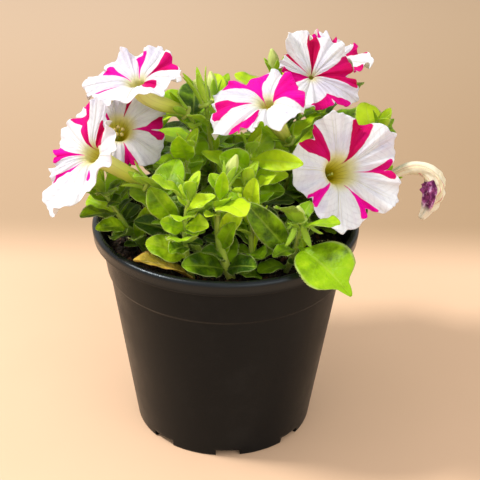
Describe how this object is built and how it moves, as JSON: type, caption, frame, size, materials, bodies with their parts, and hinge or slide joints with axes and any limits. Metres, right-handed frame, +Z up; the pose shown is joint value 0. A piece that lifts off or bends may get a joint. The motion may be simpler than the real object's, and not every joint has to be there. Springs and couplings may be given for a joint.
{
  "type": "potted petunia",
  "caption": "Petunia in a round black nursery pot: dense leafy shoots with buds carry open white trumpet blooms striped in magenta, one wilted bloom and a yellowed leaf.",
  "frame": {"origin": "middle of the pot's underside, on the surface that it stands on", "axes": "+Z up, -Y towards the viewer of the picture, +X to that viewer's right"},
  "size_m": [0.1892, 0.155, 0.1967],
  "materials": {
    "pot_plastic": "satin moulded plastic",
    "soil": "crumbly compost with bark",
    "leaf": "soft, finely hairy",
    "petal": "matt velvety white with magenta wedges",
    "wilted_petal": "limp and creased",
    "old_leaf": "dry and yellowed"
  },
  "bodies": {
    "root": {"pot": "pot_plastic", "soil": "soil", "shoot_left": "leaf", "shoot_front_left": "leaf", "shoot_front": "leaf", "shoot_front_right": "leaf", "shoot_right": "leaf", "shoot_bloom_right": "leaf", "shoot_far_right": "leaf", "shoot_centre": "leaf", "shoot_top_right": "leaf", "shoot_back_right": "leaf", "shoot_left_middle": "leaf", "shoot_top_left": "leaf", "shoot_spent_bud": "leaf", "shoot_tall_bud": "leaf", "shoot_left_low": "leaf", "shoot_left_back": "leaf", "shoot_back": "leaf", "shoot_back_centre": "leaf", "shoot_right_back": "leaf", "shoot_middle": "leaf", "shoot_inner_right": "leaf", "bloom_top_left": "petal", "bloom_left": "petal", "bloom_left_middle": "petal", "bloom_centre": "petal", "bloom_top_right": "petal", "bloom_back_right": "petal", "bloom_right": "petal", "bloom_wilted": "wilted_petal", "old_leaf": "old_leaf"}
  },
  "joints": []
}
